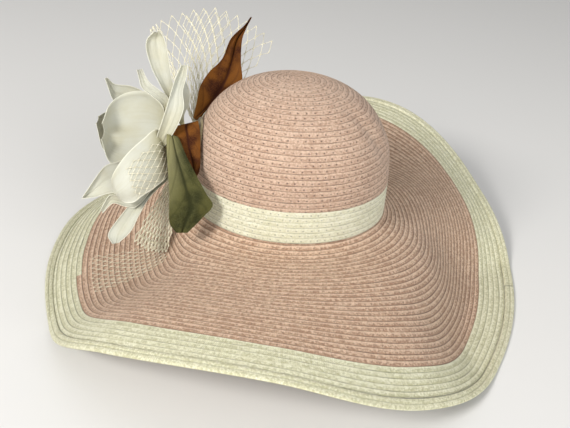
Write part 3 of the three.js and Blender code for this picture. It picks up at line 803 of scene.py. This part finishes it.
ivorySilk = silkMaterial()
brownVelvet, greenVelvet = velvetMaterial("brownVelvet"), velvetMaterial("greenVelvet")
for petal in petals:
    petalPiece(petal, ivorySilk)
for leaf in leaves:
    green = leaf["name"] == "leaf_lower"
    petalPiece(leaf, greenVelvet if green else brownVelvet)
print("petals and leaves")

# The felt backing, with the cup that carries the flower
felt = {"light": (150, 138, 104), "dark": (118, 104, 74), "hair": (176, 166, 134),
        "cloudSize": 80.0, "hairSize": 900.0, "hairDepth": 0.4}


def basePiece():
    rings, turn = flowerBase["rings"], np.linspace(0, 2 * math.pi, flowerBase["spokes"], endpoint=False)
    order = [(k, True) for k in range(1, rings + 1)] + [(k, False) for k in range(rings, 0, -1)]
    points = np.array([basePoint(turn, np.full_like(turn, k / rings), 0.0, outer) for k, outer in order])
    rows, wide = points.shape[:2]
    faces = gridFaces(rows, wide, True)
    faces.append(tuple(range(wide))[::-1])
    faces.append(tuple((rows - 1) * wide + k for k in range(wide)))
    item = meshPiece("felt_backing", toHat(points.reshape(-1, 3)), faces, np.zeros((rows * wide, 2)))
    editAll(item, lambda: bpy.ops.mesh.normals_make_consistent(inside=False))
    return item


def feltMaterial():
    t = Tree("pressedFelt")
    place = t.onPiece()
    cloud, hair = t.noise(place, felt["cloudSize"], 3.0), t.noise(place, felt["hairSize"], 3.0)
    tone = t.layers(colour(*felt["light"]),
                    (t.ramp(cloud, 0.3, 0.7, 0.0, 1.0), colour(*felt["dark"])),
                    (t.ramp(hair, 0.4, 0.7, 0.0, 0.4), colour(*felt["hair"])))
    t.surface(Base_Color=tone, Roughness=t.ramp(hair, 0.2, 0.8, 0.8, 0.95), Sheen_Weight=0.3)
    t.bump(hair * felt["hairDepth"], 0.7)
    return t.material


finishPiece(basePiece(), ["flower_base"], feltMaterial())
print("felt backing")

# The veil: knotted diamond net, each strand a thin cord. In every layer of it, flat is its width and length
# in mm before it is gathered, and thread is how thick its strands are
strand = {"radius": 0.3, "knot": 0.62, "waver": 0.35, "waves": (41, 37), "sides": 4, "steps": 3,
          "facing": (0.1, 0.2, 1.0)}
net = {"light": (236, 233, 214), "dark": (208, 203, 176), "fuzzSize": 700.0, "fuzzDepth": 0.2}
fan = dict(turn=165, seat=0.9, lift=1.3, stalk=3, reach=112, bulge=10, pleats=5, pleatDepth=4, lean=54,
           first=117, sweep=68)
fanLayers = [  # the fan, a second layer in front of it, and its bunched edge
    dict(first=117, sweep=68, front=0, share=1.0, cells=13, rows=11, flat=(123.5, 112), thread=1.0),
    dict(first=99, sweep=24, front=5, share=0.96, cells=5, rows=11, flat=(47.5, 112), thread=1.0),
    dict(first=117, sweep=6, front=3, share=0.99, cells=3, rows=9, flat=(28.5, 112), thread=1.0),
]
wrap = dict(across=(0.26, 0.74), along=(0.08, 0.5), lift=1.7, cells=5, rows=8, flat=(36, 42), thread=0.72)
skirt = dict(turn=225, sweep=70, seat=0.86, lift=1.1, brimTurn=183, brimSweep=24, brimReach=88, brimSlant=36,
             brimLift=3.2, bulge=20, cells=10, rows=13, flat=(62, 78), thread=1.3)
lining = dict(inset=0.04, wide=0.9, long=0.94, under=0.8, sag=5, cells=9, rows=11, flat=(56, 72), thread=1.05)
train = dict(brimTurn=188, brimSweep=22, start=54, reach=74, lift=2.0, cells=8, rows=11, flat=(60, 78),
             thread=0.5)


def fanSurface(layer):
    def place(u, v):
        bunch = toFlower(basePoint(math.radians(fan["turn"]), fan["seat"], fan["lift"]))
        turned = layer["sweep"] * u
        angle = np.radians(layer["first"] - turned)
        across = (fan["first"] - layer["first"] + turned) / fan["sweep"] * math.pi
        reach = fan["stalk"] + layer["share"] * (fan["reach"] + fan["bulge"] * np.sin(across)) * v
        pleat = fan["pleatDepth"] * v * np.sin(across * fan["pleats"])
        return np.stack([bunch[0] + reach * np.cos(angle), bunch[1] + reach * np.sin(angle),
                         bunch[2] + pleat + layer["front"] * v - fan["lean"] * np.sqrt(v)], -1)
    return place


frontPetal = next(p for p in petals if p["name"] == "petal_front")


def wrapSurface(u, v):
    points = petalPoint(frontPetal, wrap["across"][0] + wrap["across"][1] * u,
                        wrap["along"][0] + wrap["along"][1] * v)
    points[..., 2] += wrap["lift"]
    return points


def skirtSurface(u, v):
    azimuth = np.radians(skirt["brimTurn"] + skirt["brimSweep"] * u)
    low = toFlower(brimForm.point(azimuth, skirt["brimReach"] - skirt["brimSlant"] * u, form["strawWall"]))
    low[..., 1] += skirt["brimLift"]
    top = toFlower(basePoint(np.radians(skirt["turn"] + skirt["sweep"] * u), skirt["seat"], skirt["lift"]))
    points = top * (1 - v)[..., None] + low * v[..., None]
    points[..., 2] += skirt["bulge"] * v * (1 - v)
    return points


def liningSurface(u, v):  # a second layer of the skirt, under the first
    points = skirtSurface(lining["inset"] + lining["wide"] * u, lining["inset"] + lining["long"] * v)
    points[..., 2] -= lining["sag"] * np.sin(math.pi * v) + lining["under"]
    return points


def trainSurface(u, v):
    azimuth = np.radians(train["brimTurn"] + train["brimSweep"] * u)
    points = brimForm.point(azimuth, train["start"] + train["reach"] * v, form["strawWall"])
    points[..., 2] += train["lift"]
    return toFlower(points)


def strandLines(cells, rows):  # the two slanting families of a diamond net, as (u, v) lines
    lines = []
    high = rows + 1
    for start in range(-high, 2 * cells + high + 1):
        for lean in (1, -1):
            if start % 2 == 1:
                line = [(start + lean * k, k) for k in range(high + 1) if 0 <= start + lean * k <= 2 * cells]
                if len(line) > 1:
                    lines.append(np.array(line, float) / np.array([2 * cells, high]))
    return lines


def netPiece(name, node, layers):  # each layer is its surface and its values
    points, faces, total, thread = [], [], 0, 0.0
    sides, steps = strand["sides"], strand["steps"]
    for order, (surface, values) in enumerate(layers):
        for line in strandLines(values["cells"], values["rows"]):
            spots = np.linspace(0, len(line) - 1, (len(line) - 1) * steps + 1)
            dense = np.stack([np.interp(spots, np.arange(len(line)), line[:, k]) for k in (0, 1)], -1)
            way = surface(dense[:, 0], dense[:, 1])
            waves = dense * strand["waves"]
            way = way + strand["waver"] * np.sin(waves[:, :1] + waves[:, 1:] + order)
            lengths = np.linalg.norm(np.diff(way, axis=0), axis=-1)
            along = unit(np.gradient(way, axis=0))
            side = unit(np.cross(along, strand["facing"]))
            front = np.cross(side, along)
            count = len(way)
            thick = np.where(np.arange(count) % steps == 0, strand["knot"], strand["radius"])
            thick = thick * values["thread"]
            thread += (lengths * (thick[1:] + thick[:-1]) / 2).sum() * math.sqrt(8)
            for k in range(sides):
                turn = 2 * math.pi * k / sides
                points.append(way + (side * math.cos(turn) + front * math.sin(turn)) * thick[:, None])
                here, beside = total + k * count, total + (k + 1) % sides * count
                for j in range(count - 1):
                    faces.append((here + j + 1, beside + j + 1, beside + j, here + j))
            faces.append(tuple(total + k * count for k in range(sides)))
            faces.append(tuple(total + k * count + count - 1 for k in range(sides))[::-1])
            total += sides * count
    points = np.concatenate(points)
    item = meshPiece(name, toHat(fromFlower(points)), faces, np.zeros((len(points), 2)))
    finishPiece(item, [node], netThread, angle=80)
    flats = np.array([values["flat"] for surface, values in layers]) * mm
    wide = round(flats[:, 0].max(), 4)
    long = round((flats[:, 0] * flats[:, 1]).sum() / wide, 4)  # the layers, one after the other
    area = thread * mm * mm  # what the threads cover
    print(name, len(item.data.polygons), "threads cover", round(area / (wide * long), 2))


def netMaterial():
    t = Tree("netThread")
    fuzz = t.noise(t.onPiece(), net["fuzzSize"])
    tone = t.layers(colour(*net["light"]), (t.ramp(fuzz, 0.3, 0.7, 0.0, 1.0), colour(*net["dark"])))
    t.surface(Base_Color=tone, Roughness=t.ramp(fuzz, 0.3, 0.7, 0.45, 0.7))
    t.bump(fuzz * net["fuzzDepth"], 0.5)
    return t.material


netThread = netMaterial()
netPiece("net_fan", "veil_fan", [(fanSurface(layer), layer) for layer in fanLayers])
netPiece("net_wrap", "veil_wrap", [(wrapSurface, wrap)])
netPiece("net_skirt", "veil_skirt", [(skirtSurface, skirt), (liningSurface, lining), (trainSurface, train)])

# The camera stands where the petals' outlines are seen from
cameraData = bpy.data.cameras.new("camera")
cameraData.lens = view["lens"]
cameraData.sensor_width = view["sensor"]
camera = bpy.data.objects.new("camera", cameraData)
bpy.context.scene.collection.objects.link(camera)
turned = Matrix((frameX, frameY, frameZ)).transposed().to_4x4()
turned.translation = Vector(toHat(viewPlace))
camera.matrix_world = turned
bpy.context.scene.camera = camera

# Floor and light
studio = {
    "floorSize": 12, "floorGrain": 3.0, "floorGrainShare": 0.15,
    "floorLight": (0.74, 0.74, 0.73, 1), "floorDark": (0.68, 0.68, 0.68, 1),
    "worldLight": 0.4, "worldTint": (0.97, 0.96, 0.95, 1),
    "aim": (0, 0, 0.1),
    "lamps": [  # name, watts, size, place and tint
        ("key", 66, 0.7, (-1.52, -1.72, 1.6), (1.0, 0.97, 0.93)),
        ("fill", 33, 1.5, (1.3, -1.9, 1.1), (1.0, 1.0, 1.0)),
        ("top", 4, 1.6, (-0.3, 0.2, 2.2), (1.0, 1.0, 1.0)),
    ],
}


def areaLight(name, power, size, place, tint):
    lampData = bpy.data.lights.new(name, "AREA")
    lampData.energy = power
    lampData.size = size
    lampData.color = tint
    lamp = bpy.data.objects.new(name, lampData)
    lamp.location = place
    lamp.rotation_euler = (Vector(studio["aim"]) - Vector(place)).to_track_quat("-Z", "Y").to_euler()
    bpy.context.scene.collection.objects.link(lamp)


def buildStage():
    deselectAll()
    bpy.ops.mesh.primitive_plane_add(size=studio["floorSize"], location=(0, 0, 0))
    floor = bpy.context.object
    floor.name = "floor"
    t = Tree("floorPaper")
    tone = t.mixColour(t.noise(t.onPiece(), studio["floorGrain"]) * studio["floorGrainShare"],
                       studio["floorLight"], studio["floorDark"])
    t.surface(Base_Color=tone, Roughness=0.85)
    floor.data.materials.append(t.material)
    for lamp in studio["lamps"]:
        areaLight(*lamp)
    world = bpy.data.worlds.new("studio")
    world.use_nodes = True
    world.node_tree.nodes["Background"].inputs["Color"].default_value = studio["worldTint"]
    world.node_tree.nodes["Background"].inputs["Strength"].default_value = studio["worldLight"]
    bpy.context.scene.world = world


buildStage()
print("camera, floor and light")
bpy.context.scene.view_settings.view_transform = "Standard"
